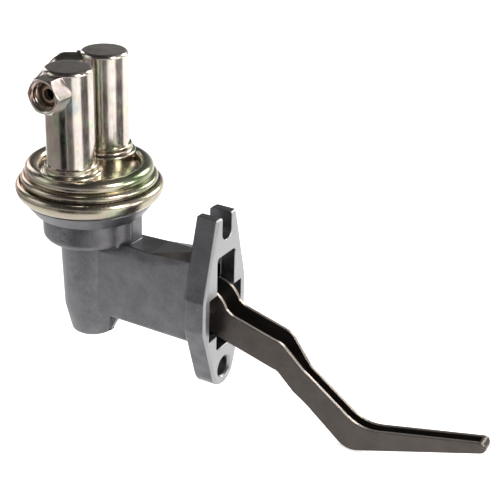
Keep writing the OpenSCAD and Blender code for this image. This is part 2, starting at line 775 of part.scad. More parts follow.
// Lower edge of the rocker from its tail to its nose: x, z and corner radius
tail_web = web_z + (axis_x - tail_end) * tan(tail_slope);
rocker_foot = [
    [tail_end, tail_web, 0], [axis_x + 49, web_z - 49 * tan(tail_slope), 8], [-14, -15.2, 10],
    [37.5, -28.8, 5], [47.5, -40.3, 12], [80.8, -66.6, 12], [nose_reach - 0.4, -40.5, 0]
];

// Height of the tail's upper edge, parallel to its web
function tail_top(x) = web_z + (axis_x - x) * tan(tail_slope) + tail_h + (x - tail_end) * 0.02;

module rocker_side() {
    tip = [nose_reach - nose_tip_r, -38.2];
    polygon(rounded(concat(
        [for (i = [0:len(rocker_foot) - 2]) rocker_foot[i]],
        [[nose_reach, -40.1, nose_tip_r], [nose_reach, -34, nose_tip_r + 0.4]],
        [[88, -50.9, 22], [52.5, -25.9, 14], [39.5, -11.5, 9], [8.4, -3.4, 7]],
        [for (p = arc(pivot, hub_r, 20, 96, 12)) [p[0], p[1], 0]],
        [[-30, tail_top(-30), 8], [tail_end, tail_top(tail_end), 2]])));
}

// Inside of the channel, open at the top, closed by the web below and at the nose
module channel_side() {
    inner = moved(rocker_foot, sheet_t);
    last = len(inner) - 1;
    end_x = nose_reach - 4;
    end_z = inner[last][1] - (inner[last][0] - end_x) * 0.345;
    polygon(rounded(concat(
        [[tail_end - cut, inner[0][1], 0]],
        [for (i = [1:last - 1]) inner[i]],
        [[end_x, end_z, 1.5], [end_x, 40, 0], [tail_end - cut, 40, 0]])));
}

module rocker_plan(e) {
    w = rocker_half_w - e;
    n = nose_half_w - e;
    t = tail_half_w - e;
    polygon(rounded([
        [tail_end - e, -t, 0], [-30, -t, 20], [-20, -w, 20], [35, -w, 12], [54, -n, 20],
        [nose_reach + e, -n, nose_half_w > e ? 2.4 : 0], [nose_reach + e, n, 2.4],
        [54, n, 20], [35, w, 12], [-20, w, 20], [-30, t, 20], [tail_end - e, t, 0]]));
}

module rocker_arm() {
    color([0.27, 0.25, 0.24]) difference() {
        intersection() {
            across_y(20) rocker_side();
            translate([0, 0, -100]) linear_extrude(200) rocker_plan(0);
        }
        intersection() {
            across_y(20) channel_side();
            translate([0, 0, -100]) linear_extrude(200) rocker_plan(sheet_t);
        }
        translate([pivot[0], 0, pivot[1]]) bar_y(pin_d / 2 + pin_fit, 60);
        translate([axis_x + 1, 0, 0]) cylinder(r = rod_d / 2 + 0.7, h = 30);
        translate([tail_end - cut, -rod_d / 2 - 0.7, 0]) cube([axis_x - tail_end + cut + 1, rod_d + 1.4, 30]);
    }
}

module pivot_pin() {
    color("silver") translate([pivot[0], 0, pivot[1]]) bar_y(pin_d / 2, pin_l);
}

module spring_cup() {
    color("gray") translate([axis_x, 0, 0]) rotate_extrude() polygon([
        [cup_bore_r, cup_top - cup_t - skirt_h], [skirt_r, cup_top - cup_t - skirt_h],
        [skirt_r, cup_top - cup_t], [cup_r, cup_top - cup_t], [cup_r, cup_top], [cup_bore_r, cup_top]]);
}

module rocker_spring() {
    color("gray") translate([axis_x, 0, 0])
        coil(rocker_spring_r, rocker_wire, boss_floor, cup_top - cup_t, rocker_turns, 8, 18);
}

// Places a valve at the foot of a tower: way 1 opens up, way -1 opens down
module valve_frame(axis, way) {
    translate([axis[0], axis[1], way > 0 ? cage_z : cage_z + cage_t])
        mirror([0, 0, way > 0 ? 0 : 1]) children();
}

module valve_cage() {
    difference() {
        union() {
            cylinder(r = cage_r, h = cage_t);
            cylinder(r = stem_r, h = cage_t + stem_l);
            translate([0, 0, cage_t + stem_l - stem_head_t]) cylinder(r = stem_head_r, h = stem_head_t);
        }
        for (i = [0:5])
            rotate([0, 0, 60 * i]) translate([disc_r - 3.2, 0, -cut])
                cylinder(r = valve_port_r, h = cage_t + 2 * cut);
    }
}

module valve_disc() {
    translate([0, 0, cage_t + disc_gap]) difference() {
        cylinder(r = disc_r, h = disc_t);
        translate([0, 0, -cut]) cylinder(r = stem_r + 0.06, h = disc_t + 2 * cut);
    }
}

module valve_spring() {
    coil(2, valve_wire, cage_t + disc_gap + disc_t, cage_t + stem_l - stem_head_t, 3, 6, 12);
}

module inlet_valve_cage() { color("gold") valve_frame(inlet_axis, -1) valve_cage(); }
module inlet_valve_disc() { color("black") valve_frame(inlet_axis, -1) valve_disc(); }
module inlet_valve_spring() { color("gray") valve_frame(inlet_axis, -1) valve_spring(); }
module outlet_valve_cage() { color("gold") valve_frame(outlet_axis, 1) valve_cage(); }
module outlet_valve_disc() { color("black") valve_frame(outlet_axis, 1) valve_disc(); }
module outlet_valve_spring() { color("gray") valve_frame(outlet_axis, 1) valve_spring(); }

lower_body();
crimp_ring();
upper_cover();
outlet_tower();
inlet_tower();
outlet_fitting();
flare_seat();
inlet_tube();
main_diaphragm();
upper_plate();
lower_plate();
pull_rod();
diaphragm_spring();
oil_seal();
seal_retainer();
rocker_arm();
pivot_pin();
spring_cup();
rocker_spring();
inlet_valve_cage();
inlet_valve_disc();
inlet_valve_spring();
outlet_valve_cage();
outlet_valve_disc();
outlet_valve_spring();
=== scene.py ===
"""Looks of the mechanical fuel pump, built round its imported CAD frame.

The script loads the frame, gives every node its finish, adds what the solids leave out (the port's thread,
the casting's broken edges and ejector mark, the arm's rounded sheet, smooth springs), and sets the studio up
for the photograph's view.
"""

import json
import logging
import math
from dataclasses import dataclass
from enum import Enum
from typing import Callable, Iterable, Sequence

import bmesh
import bpy
from mathutils import Matrix, Vector

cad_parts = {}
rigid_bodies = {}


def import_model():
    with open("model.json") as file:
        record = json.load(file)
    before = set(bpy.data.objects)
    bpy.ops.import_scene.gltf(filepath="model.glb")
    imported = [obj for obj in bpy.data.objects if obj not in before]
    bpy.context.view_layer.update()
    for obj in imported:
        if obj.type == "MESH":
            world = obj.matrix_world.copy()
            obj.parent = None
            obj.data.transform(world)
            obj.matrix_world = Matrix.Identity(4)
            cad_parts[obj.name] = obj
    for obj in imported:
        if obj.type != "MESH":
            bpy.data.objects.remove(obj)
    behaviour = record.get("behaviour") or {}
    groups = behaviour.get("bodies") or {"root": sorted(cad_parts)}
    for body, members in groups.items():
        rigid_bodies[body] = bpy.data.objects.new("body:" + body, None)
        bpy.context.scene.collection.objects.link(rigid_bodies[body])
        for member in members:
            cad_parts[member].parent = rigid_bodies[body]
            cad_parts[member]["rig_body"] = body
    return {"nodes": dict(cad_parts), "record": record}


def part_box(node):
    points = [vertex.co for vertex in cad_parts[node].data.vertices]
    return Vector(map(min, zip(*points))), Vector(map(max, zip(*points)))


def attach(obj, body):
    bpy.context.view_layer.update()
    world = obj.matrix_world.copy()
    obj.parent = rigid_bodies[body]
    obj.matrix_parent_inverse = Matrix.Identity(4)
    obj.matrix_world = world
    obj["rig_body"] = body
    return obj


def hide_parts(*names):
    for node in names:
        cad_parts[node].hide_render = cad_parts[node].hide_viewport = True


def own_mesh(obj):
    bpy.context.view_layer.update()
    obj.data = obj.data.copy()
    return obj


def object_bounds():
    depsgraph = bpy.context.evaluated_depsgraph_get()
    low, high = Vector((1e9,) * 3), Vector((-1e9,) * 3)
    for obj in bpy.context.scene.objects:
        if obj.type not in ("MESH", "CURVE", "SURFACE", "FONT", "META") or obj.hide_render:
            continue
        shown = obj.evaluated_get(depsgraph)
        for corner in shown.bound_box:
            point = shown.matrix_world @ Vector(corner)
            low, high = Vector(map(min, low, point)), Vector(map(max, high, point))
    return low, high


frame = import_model()
FIRST_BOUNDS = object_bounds()

LOG = logging.getLogger("fuel_pump")
MM = 0.001
# Face attribute of the lighter colour: a painted highlight on the rocker's upper edges, and machined metal
# with a painted reflection on the casting's mating face.
BARE_AND_HIGHLIGHT = "bare_and_highlight"

# Travel of the rod and the return cup, and of each valve disc, in metres.
ROD_TRAVEL = 0.0065
VALVE_TRAVEL = 0.0015

Triple = tuple[float, float, float]
Socket = bpy.types.NodeSocket


class Slot(Enum):
    """The record's material slots."""

    CASTING = "cast_aluminium"
    COVER = "yellow_zinc_steel"
    CAN = "bright_zinc_steel"
    BRASS = "brass"
    RUBBER = "rubber"
    SPRING = "spring_steel"
    ROCKER = "phosphated_steel"
    PIN = "ground_steel"


@dataclass(frozen=True)
class Stain:
    """A patch of colour in a chromate film.

    Attributes:
        center: Its middle in millimetres.
        radius: How far it reaches, in millimetres.
        color: The colour that the metal's own is multiplied by.
    """

    center: Triple
    radius: float
    color: Triple


@dataclass(frozen=True)
class Finish:
    """One surface finish.

    Attributes:
        slot: The record's material slot.
        color: Linear base colour.
        metallic: Metalness from 0 to 1.
        roughness: Mean roughness.
        rough_spread: How far the roughness wanders.
        bump_mm: Height of the surface grain in millimetres.
        grain_scale: Grain cells per metre.
        stretch: Scale of the grain along Z, below 1 for drawn streaks.
        mottle: Strength of light and dark patches.
        tint: Strength of the chromate's colour play.
        stains: Local colour patches of the chromate.
        bare_and_highlight_color: Lighter colour of marked faces, where the finish has some: machined metal
            with a painted reflection and a painted rim highlight on the casting, a painted highlight on the
            rocker's upper edges.
    """

    slot: Slot
    color: Triple
    metallic: float = 1.0
    roughness: float = 0.4
    rough_spread: float = 0.06
    bump_mm: float = 0.0
    grain_scale: float = 900.0
    stretch: float = 1.0
    mottle: float = 0.1
    tint: float = 0.0
    stains: tuple[Stain, ...] = ()
    bare_and_highlight_color: Triple | None = None


PINK = (1.0, 0.74, 0.72)
GREEN = (0.48, 0.66, 0.46)
BLUE = (0.74, 0.90, 0.96)

FINISHES = (
    # The casting's lighter mating face is machined metal with a painted reflection on it and a painted
    # highlight on its rim.
    Finish(
        Slot.CASTING, (0.145, 0.143, 0.153), metallic=0.85, roughness=0.37, rough_spread=0.12,
        bump_mm=0.045, grain_scale=1400.0, mottle=0.42, bare_and_highlight_color=(0.33, 0.33, 0.34),
    ),
    Finish(
        Slot.COVER, (0.40, 0.365, 0.30), roughness=0.24, rough_spread=0.07, bump_mm=0.004,
        mottle=0.14, tint=0.45,
        stains=(
            Stain((-125.0, -26.0, 52.0), 24.0, PINK),
            Stain((-62.0, 2.0, 60.0), 20.0, GREEN),
            Stain((-80.0, 34.0, 66.0), 14.0, BLUE),
        ),
    ),
    Finish(
        Slot.CAN, (0.52, 0.485, 0.455), roughness=0.19, rough_spread=0.09, bump_mm=0.008,
        grain_scale=1300.0, stretch=0.14, mottle=0.30, tint=0.55,
        stains=(
            Stain((-80.0, -29.0, 104.0), 7.0, BLUE),
            Stain((-94.0, 5.0, 88.0), 10.0, GREEN),
            Stain((-101.0, 6.0, 104.0), 9.0, PINK),
            Stain((-96.0, -40.0, 113.0), 6.0, PINK),
        ),
    ),
    Finish(Slot.BRASS, (0.52, 0.39, 0.29), metallic=0.85, roughness=0.50, mottle=0.12),
    Finish(
        Slot.RUBBER, (0.02, 0.02, 0.02), metallic=0.0, roughness=0.65, rough_spread=0.05,
        bump_mm=0.02, grain_scale=1200.0,
    ),
    Finish(Slot.SPRING, (0.32, 0.32, 0.32), roughness=0.35, rough_spread=0.08),
    # The rocker's lighter colour is a painted highlight on the upward-facing upper edges of its side walls.
    Finish(
        Slot.ROCKER, (0.076, 0.065, 0.059), metallic=0.80, roughness=0.38, rough_spread=0.09,
        bump_mm=0.012, grain_scale=1800.0, mottle=0.26, bare_and_highlight_color=(0.24, 0.21, 0.19),
    ),
    Finish(Slot.PIN, (0.50, 0.50, 0.50), roughness=0.28, rough_spread=0.05, mottle=0.08),
)


class NodeTree:
    """Thin helper that adds and links nodes in one tree."""

    # A Mix node has sockets for every kind of value, and these are the ones for colours.
    MIX_A, MIX_B, MIX_RESULT = 6, 7, 2

    def __init__(self, tree: bpy.types.NodeTree) -> None:
        """Wraps a node tree.

        Args:
            tree: The tree to build in.
        """
        self.tree = tree

    def add(self, kind: str, **values: object) -> bpy.types.Node:
        """Adds one node.

        Args:
            kind: Node type identifier.
            **values: Attributes to set on the node.

        Returns:
            The new node.
        """
        node = self.tree.nodes.new(kind)
        for name, value in values.items():
            setattr(node, name, value)
        return node

    def link(self, source: Socket, target: Socket) -> None:
        """Links an output to an input.

        Args:
            source: Output socket.
            target: Input socket.
        """
        self.tree.links.new(source, target)

    def put(self, value: object, target: Socket) -> None:
        """Gives an input its value.

        Args:
            value: Output socket to link, or the value to set.
            target: Input socket.
        """
        if isinstance(value, Socket):
            self.link(value, target)
        else:
            target.default_value = value

    def math(self, operation: str, a: object, b: object) -> Socket:
        """Adds a math node.

        Args:
            operation: The math operation.
            a: First socket or number.
            b: Second socket or number.

        Returns:
            The result socket.
        """
        node = self.add("ShaderNodeMath", operation=operation)
        self.put(a, node.inputs[0])
        self.put(b, node.inputs[1])
        return node.outputs[0]

    def vector_math(self, operation: str, a: Socket, b: object) -> Socket:
        """Adds a vector math node.

        Args:
            operation: The vector operation.
            a: First vector's socket.
            b: Second vector as a socket or a value, or the factor of SCALE.

        Returns:
            The result socket, a number for DISTANCE and DOT_PRODUCT and else a vector.
        """
        node = self.add("ShaderNodeVectorMath", operation=operation)
        self.link(a, node.inputs[0])
        self.put(b, node.inputs["Scale" if operation == "SCALE" else 1])
        return node.outputs["Value" if operation in ("DISTANCE", "DOT_PRODUCT") else "Vector"]

    def noise(self, vector: Socket, **values: object) -> Socket:
        """Adds a noise texture.

        Args:
            vector: Socket of the coordinates.
            **values: Its inputs by their names in lower case, as numbers or sockets.

        Returns:
            The socket of its value, from 0 to 1.
        """
        node = self.add("ShaderNodeTexNoise")
        self.link(vector, node.inputs["Vector"])
        for name, value in values.items():
            self.put(value, node.inputs[name.capitalize()])
        return node.outputs["Fac"]

    def swing(self, value: Socket, reach: float) -> Socket:
        """Moves a noise's value so that it swings about zero.

        Args:
            value: Socket of a value from 0 to 1.
            reach: Distance between the ends of the swing.

        Returns:
            The result socket.
        """
        return self.math("SUBTRACT", self.math("MULTIPLY", value, reach), reach / 2)

    def color_ramp(self, value: Socket, stops: Sequence[tuple[float, Triple]]) -> Socket:
        """Adds a colour ramp.

        Args:
            value: Input socket.
            stops: Pairs of position and colour, in order.

        Returns:
            The colour socket.
        """
        node = self.add("ShaderNodeValToRGB")
        marks = node.color_ramp.elements
        while len(marks) < len(stops):
            marks.new(1.0)
        for mark, (position, color) in zip(marks, stops):
            mark.position = position
            mark.color = (*color, 1.0)
        self.link(value, node.inputs["Fac"])
        return node.outputs["Color"]

    def grey_ramp(self, value: Socket, stops: Sequence[tuple[float, float]]) -> Socket:
        """Adds a grey ramp.

        Args:
            value: Input socket.
            stops: Pairs of position and brightness, in order.

        Returns:
            The colour socket.
        """
        return self.color_ramp(value, [(position, (level, level, level)) for position, level in stops])

    def mix(self, a: Socket, b: object, factor: Socket, kind: str = "MIX") -> Socket:
        """Mixes two colours.

        Args:
            a: First colour's socket.
            b: Second colour as a socket or a value.
            factor: Socket of the second colour's share.
            kind: The way they are mixed.

        Returns:
            The colour socket.
        """
        node = self.add("ShaderNodeMix", data_type="RGBA", blend_type=kind)
        self.link(factor, node.inputs["Factor"])
        self.link(a, node.inputs[self.MIX_A])
        self.put(b, node.inputs[self.MIX_B])
        return node.outputs[self.MIX_RESULT]

    def use(self, group: bpy.types.NodeTree, values: dict[str, object]) -> bpy.types.Node:
        """Adds a node group.

        Args:
            group: The group's tree.
            values: Its inputs by name, as values or sockets.

        Returns:
            The group's node.
        """
        node = self.add("ShaderNodeGroup", node_tree=group)
        for name, value in values.items():
            self.put(value, node.inputs[name])
        return node


class ShaderGroup(NodeTree):
    """Shader node group with named sockets, whose patterns lie in Object coordinates."""

    FLOAT = "NodeSocketFloat"
    COLOR = "NodeSocketColor"
    VECTOR = "NodeSocketVector"

    def __init__(self, name: str, inputs: dict[str, tuple[str, object]], outputs: dict[str, str]) -> None:
        """Makes the group with its sockets.

        Args:
            name: The group's name.
            inputs: Socket name to socket type and default value.
            outputs: Socket name to socket type.
        """
        super().__init__(bpy.data.node_groups.new(name, "ShaderNodeTree"))
        sockets = self.tree.interface
        for socket, (kind, default) in inputs.items():
            sockets.new_socket(name=socket, in_out="INPUT", socket_type=kind).default_value = default
        for socket, kind in outputs.items():
            sockets.new_socket(name=socket, in_out="OUTPUT", socket_type=kind)
        self.given = self.add("NodeGroupInput").outputs
        self.result = self.add("NodeGroupOutput").inputs
        self.place = self.add("ShaderNodeTexCoord").outputs["Object"]


class MaterialLibrary:
    """Builds the finishes from shared node groups."""

    # Colours that a chromate film wanders through, by the value of its noise.
    FILM_STOPS = (
        (0.30, (0.66, 1.00, 0.74)),
        (0.42, (1.00, 0.97, 0.78)),
        (0.52, (1.00, 0.84, 0.90)),
        (0.60, (0.94, 1.00, 0.90)),
        (0.72, (1.00, 0.88, 0.70)),
    )
    # A stain is full up to the first share of its radius, and gone at the second.
    STAIN_STOPS = ((0.25, 1.0), (1.0, 0.0))
    # How strongly the grain's swing shows in the colour and in the roughness.
    MOTTLE_GAIN = 2.6
    ROUGH_GAIN = 2.0

    def __init__(self, finishes: Iterable[Finish]) -> None:
        """Builds every material.

        Args:
            finishes: The finishes to build.
        """
        self.chromate = self._chromate_group()
        self.grain = self._grain_group()
        self.stain = self._stain_group()
        self.materials = {finish.slot: self._material(finish) for finish in finishes}

    def __getitem__(self, slot: Slot) -> bpy.types.Material:
        """The material of one slot."""
        return self.materials[slot]

    def _chromate_group(self) -> bpy.types.NodeTree:
        """Colour play of a chromate film, wandering between green, gold and pink.

        Returns:
            The node group.
        """
        g = ShaderGroup(
            "ChromateFilm",
            {
                "Color": (ShaderGroup.COLOR, (0.7, 0.7, 0.6, 1.0)),
                "Strength": (ShaderGroup.FLOAT, 0.3),
            },
            {"Color": ShaderGroup.COLOR},
        )
        film = g.color_ramp(g.noise(g.place, scale=58.0, detail=2.0, distortion=0.9), self.FILM_STOPS)
        g.link(g.mix(g.given["Color"], film, g.given["Strength"], "MULTIPLY"), g.result["Color"])
        return g.tree

    def _stain_group(self) -> bpy.types.NodeTree:
        """One soft-edged patch of another colour.

        Returns:
            The node group.
        """
        g = ShaderGroup(
            "ChromateStain",
            {
                "Color": (ShaderGroup.COLOR, (0.7, 0.7, 0.6, 1.0)),
                "Center": (ShaderGroup.VECTOR, (0.0, 0.0, 0.0)),
                "Radius": (ShaderGroup.FLOAT, 0.01),
                "Stain": (ShaderGroup.COLOR, (1.0, 0.8, 0.8, 1.0)),
            },
            {"Color": ShaderGroup.COLOR},
        )
        apart = g.vector_math("DISTANCE", g.place, g.given["Center"])
        share = g.math("DIVIDE", apart, g.given["Radius"])
        ragged = g.math("ADD", share, g.swing(g.noise(g.place, scale=90.0), reach=0.9))
        mask = g.grey_ramp(ragged, self.STAIN_STOPS)
        g.link(g.mix(g.given["Color"], g.given["Stain"], mask, "MULTIPLY"), g.result["Color"])
        return g.tree

    def _grain_group(self) -> bpy.types.NodeTree:
        """Patches, roughness wander and fine bump of a worked surface.

        Returns:
            The node group.
        """
        g = ShaderGroup(
            "SurfaceGrain",
            {
                "Color": (ShaderGroup.COLOR, (0.5, 0.5, 0.5, 1.0)),
                "Mottle": (ShaderGroup.FLOAT, 0.1),
                "Roughness": (ShaderGroup.FLOAT, 0.4),
                "Spread": (ShaderGroup.FLOAT, 0.05),
                "Height": (ShaderGroup.FLOAT, 0.00002),
                "Scale": (ShaderGroup.FLOAT, 900.0),
                "Stretch": (ShaderGroup.FLOAT, 1.0),
            },
            {
                "Color": ShaderGroup.COLOR,
                "Roughness": ShaderGroup.FLOAT,
                "Normal": ShaderGroup.VECTOR,
            },
        )
        axes = g.add("ShaderNodeCombineXYZ")
        for value, socket in zip((1.0, 1.0, g.given["Stretch"]), axes.inputs):
            g.put(value, socket)
        broad = g.noise(g.place, scale=85.0, detail=5.0, roughness=0.62)
        drawn = g.vector_math("MULTIPLY", g.place, axes.outputs[0])
        fine = g.noise(drawn, scale=g.given["Scale"], detail=3.0)
        swing = g.math("ADD", g.swing(broad, reach=1.2), g.swing(fine, reach=0.8))
        mottle = g.math("MULTIPLY", g.math("MULTIPLY", swing, self.MOTTLE_GAIN), g.given["Mottle"])
        color = g.vector_math("SCALE", g.given["Color"], g.math("ADD", mottle, 1.0))
        g.link(color, g.result["Color"])
        wander = g.math("MULTIPLY", g.math("MULTIPLY", swing, self.ROUGH_GAIN), g.given["Spread"])
        g.link(g.math("ADD", g.given["Roughness"], wander), g.result["Roughness"])
        bump = g.add("ShaderNodeBump")
        g.link(g.given["Height"], bump.inputs["Distance"])
        g.link(fine, bump.inputs["Height"])
        g.link(bump.outputs["Normal"], g.result["Normal"])
        return g.tree

    def _material(self, finish: Finish) -> bpy.types.Material:
        """Builds one finish.

        Args:
            finish: The finish to build.

        Returns:
            The material.
        """
        material = bpy.data.materials.new(finish.slot.value)
        material.use_nodes = True
        material.node_tree.nodes.clear()
        t = NodeTree(material.node_tree)
        grain = t.use(self.grain, {
            "Color": (*finish.color, 1.0),
            "Mottle": finish.mottle,
            "Roughness": finish.roughness,
            "Spread": finish.rough_spread,
            "Height": finish.bump_mm * MM,
            "Scale": finish.grain_scale,
            "Stretch": finish.stretch,
        })
        color = grain.outputs["Color"]
        # Marked faces take the lighter colour: painted highlight, and on the casting's mating face also
        # machined metal with a painted reflection.
        if finish.bare_and_highlight_color:
            highlight_share = t.add("ShaderNodeAttribute", attribute_name=BARE_AND_HIGHLIGHT)
            color = t.mix(color, (*finish.bare_and_highlight_color, 1.0), highlight_share.outputs["Fac"])
        if finish.tint > 0:
            color = t.use(self.chromate, {"Color": color, "Strength": finish.tint}).outputs["Color"]
        for stain in finish.stains:
            patch = t.use(self.stain, {
                "Color": color,
                "Center": [v * MM for v in stain.center],
                "Radius": stain.radius * MM,
                "Stain": (*stain.color, 1.0),
            })
            color = patch.outputs["Color"]
        surface = t.add("ShaderNodeBsdfPrincipled")
        surface.inputs["Metallic"].default_value = finish.metallic
        t.link(color, surface.inputs["Base Color"])
        t.link(grain.outputs["Roughness"], surface.inputs["Roughness"])
        if finish.bump_mm > 0:
            t.link(grain.outputs["Normal"], surface.inputs["Normal"])
        out = t.add("ShaderNodeOutputMaterial")
        t.link(surface.outputs[0], out.inputs["Surface"])
        return material


@dataclass(frozen=True)
class SoftBox:
    """One area light, placed by its bearing from the direction of the camera.

    Attributes:
        name: The light's name.
        bearing: Degrees to the right of the camera, seen from the part.
        elevation: Degrees above the horizon.
        distance: Metres from the point that the lights face.
        size: Width and height in metres.
        power: Watts.
        color: Light colour.
    """

    name: str
    bearing: float
    elevation: float
    distance: float
    size: tuple[float, float]
    power: float
    color: Triple = (1.0, 1.0, 1.0)


@dataclass(frozen=True)
class FloorCard:
    """A toned card on the floor, which shows only in the polished metal and in glass.

    Attributes:
        name: The card's name.
        bearings: Degrees to the right of the camera where it starts and ends.
        near: Distance of its inner edge from the towers, in metres.
        far: Distance of its outer edge, in metres.
        tone: Its colour.
    """

    name: str
    bearings: tuple[float, float]
    near: float
    far: float
    tone: Triple


@dataclass(frozen=True)
class Viewpoint:
    """The camera, as fitted to the photograph.

    Attributes:
        place: Where it stands, in metres.
        azimuth: Degrees, from -Y towards +X, of the side that it looks from.
        elevation: Degrees above the horizon that it looks down from.
        roll: Degrees that it is turned anticlockwise, seen from behind it.
        lens_mm: Focal length.
        sensor_mm: Width of the sensor.
        clip: Nearest and farthest distance that it shows, in metres.
    """

    place: Triple = (0.2967, -0.5069, 0.3145)
    azimuth: float = 29.12
    elevation: float = 25.73
    roll: float = 1.97
    lens_mm: float = 86.72
    sensor_mm: float = 36.0
    clip: tuple[float, float] = (0.01, 50.0)


@dataclass
class Studio:
    """Camera, lights, room, floor and the cards that the metal mirrors.

    Attributes:
        view: The camera.
        zero_bearing: World angle, in degrees, of the direction from the towers to the camera.
        middle: Point between the towers, from which the cards' bearings are taken.
        aim: Point that the lights face.
        boxes: The lights.
        cards: The cards on the floor.
        card_steps: Straight stretches in a card's round edge.
        room: Brightness of the room by height, from the horizon to straight above.
        side_bearing: Bearing of the room's brighter side.
        side_glow: How much brighter the room is there.
        floor_reach: Distance from the middle of the floor to its edge, in metres.
        floor_drop: Gap between the part's lowest point and the floor, in metres.
        floor_tone: The floor's colour.
        floor_glow: Strength of its glow for the camera, mirrors and glass.
        matt_roughness: Roughness of floor and cards.
        matt_specular: Their specular level.
    """

    view: Viewpoint = Viewpoint()
    zero_bearing: float = -51.7
    middle: tuple[float, float] = (-0.091, 0.0)
    aim: Triple = (-0.03, 0.0, 0.02)
    boxes: tuple[SoftBox, ...] = (
        SoftBox("key", 44.0, 32.0, 0.85, (0.24, 0.40), 5.2, (1.0, 0.97, 0.94)),
        SoftBox("right", 123.0, 28.0, 0.95, (0.38, 0.40), 5.0, (1.0, 0.98, 0.93)),
        SoftBox("left", -96.0, 26.0, 0.95, (0.50, 0.46), 1.1, (0.97, 0.98, 1.0)),
        SoftBox("low", 70.0, 9.0, 0.95, (0.30, 0.22), 2.2, (1.0, 0.98, 0.96)),
        SoftBox("rim", -150.0, 22.0, 0.95, (0.30, 0.40), 1.2),
    )
    cards: tuple[FloorCard, ...] = (
        FloorCard("card_front", (-50.0, -19.0), 0.17, 0.75, (0.004, 0.004, 0.004)),
        FloorCard("card_middle", (-17.0, 12.0), 0.17, 0.75, (0.20, 0.19, 0.18)),
        FloorCard("card_left", (-145.0, -46.0), 0.22, 0.80, (0.60, 0.57, 0.54)),
        FloorCard("card_right", (52.0, 93.0), 0.32, 0.80, (0.03, 0.028, 0.026)),
    )
    card_steps: int = 12
    room: tuple[tuple[float, float], ...] = (
        (0.0, 0.70), (0.10, 0.42), (0.24, 0.16), (0.45, 0.08), (1.0, 0.05),
    )
    side_bearing: float = 95.0
    side_glow: float = 0.42
    floor_reach: float = 6.0
    floor_drop: float = 0.001
    floor_tone: float = 0.93
    floor_glow: float = 0.72
    matt_roughness: float = 0.8
    matt_specular: float = 0.1

    def build(self) -> None:
        """Builds the whole studio."""
        self._world()
        self._floor()
        for box in self.boxes:
            self._light(box)
        for card in self.cards:
            self._card(card)
        self._camera()
        bpy.context.scene.view_settings.view_transform = "Standard"
        LOG.info("studio: %d lights, %d cards", len(self.boxes), len(self.cards))

    def _direction(self, bearing: float) -> Vector:
        """Level direction of a bearing.

        Args:
            bearing: Degrees to the right of the camera.

        Returns:
            The unit direction.
        """
        angle = math.radians(self.zero_bearing + bearing)
        return Vector((math.cos(angle), math.sin(angle), 0.0))

    def _world(self) -> None:
        """Room with a pale horizon and a dark ceiling, brighter on one side."""
        world = bpy.data.worlds.new("Studio")
        bpy.context.scene.world = world
        world.use_nodes = True
        world.node_tree.nodes.clear()
        t = NodeTree(world.node_tree)
        place = t.add("ShaderNodeTexCoord").outputs["Generated"]
        split = t.add("ShaderNodeSeparateXYZ")
        t.link(place, split.inputs[0])
        height = t.grey_ramp(split.outputs["Z"], self.room)
        facing = t.vector_math("DOT_PRODUCT", place, self._direction(self.side_bearing))
        side = t.math("MULTIPLY", t.math("MAXIMUM", facing, 0.0), self.side_glow)
        sky = t.add("ShaderNodeBackground")
        t.link(t.math("ADD", height, side), sky.inputs["Color"])
        out = t.add("ShaderNodeOutputWorld")
        t.link(sky.outputs[0], out.inputs["Surface"])

    def _plate(self, name: str, corners: Sequence[Sequence[float]], tone: Triple) -> NodeTree:
        """Makes one flat stage piece.

        Args:
            name: Its name.
            corners: Its corners in metres.
            tone: Its colour.

        Returns:
            The tree of its material, with the node called Principled BSDF.
        """
        mesh = bpy.data.meshes.new(name)
        mesh.from_pydata(list(corners), [], [tuple(range(len(corners)))])
        plate = add_object(name, mesh)
        material = bpy.data.materials.new(name)
        material.use_nodes = True
        surface = material.node_tree.nodes["Principled BSDF"]
        surface.inputs["Base Color"].default_value = (*tone, 1.0)
        surface.inputs["Roughness"].default_value = self.matt_roughness
        surface.inputs["Specular IOR Level"].default_value = self.matt_specular
        mesh.materials.append(material)
        return NodeTree(material.node_tree)

    @staticmethod
    def _mirrored(t: NodeTree) -> Socket:
        """Says whether a ray comes from a mirror or through glass.

        Args:
            t: The tree to build in.

        Returns:
            The socket, 1 for such a ray.
        """
        path = t.add("ShaderNodeLightPath")
        return t.math("MAXIMUM", path.outputs["Is Glossy Ray"], path.outputs["Is Transmission Ray"])

    def _floor(self) -> None:
        """Large pale floor under the lowest point, which glows white for the camera, mirrors and glass."""
        reach, z = self.floor_reach, FIRST_BOUNDS[0].z - self.floor_drop
        corners = ((-reach, -reach, z), (reach, -reach, z), (reach, reach, z), (-reach, reach, z))
        t = self._plate("floor", corners, (self.floor_tone, self.floor_tone, self.floor_tone))
        surface = t.tree.nodes["Principled BSDF"]
        surface.inputs["Emission Color"].default_value = (1.0, 1.0, 1.0, 1.0)
        path = t.add("ShaderNodeLightPath")
        seen = t.math("MAXIMUM", path.outputs["Is Camera Ray"], self._mirrored(t))
        t.link(t.math("MULTIPLY", seen, self.floor_glow), surface.inputs["Emission Strength"])

    def _card(self, card: FloorCard) -> None:
        """Lays one card on the floor, which only mirrors and glass show.

        Args:
            card: The card.
        """
        first, last = card.bearings
        turn = (last - first) / self.card_steps
        rays = [self._direction(first + turn * i) for i in range(self.card_steps + 1)]
        middle = Vector((*self.middle, FIRST_BOUNDS[0].z))
        inner = [middle + ray * card.near for ray in rays]
        outer = [middle + ray * card.far for ray in reversed(rays)]
        t = self._plate(card.name, inner + outer, card.tone)
        mix = t.add("ShaderNodeMixShader")
        t.link(self._mirrored(t), mix.inputs[0])
        t.link(t.add("ShaderNodeBsdfTransparent").outputs[0], mix.inputs[1])
        t.link(t.tree.nodes["Principled BSDF"].outputs[0], mix.inputs[2])
        t.link(mix.outputs[0], t.tree.nodes["Material Output"].inputs["Surface"])

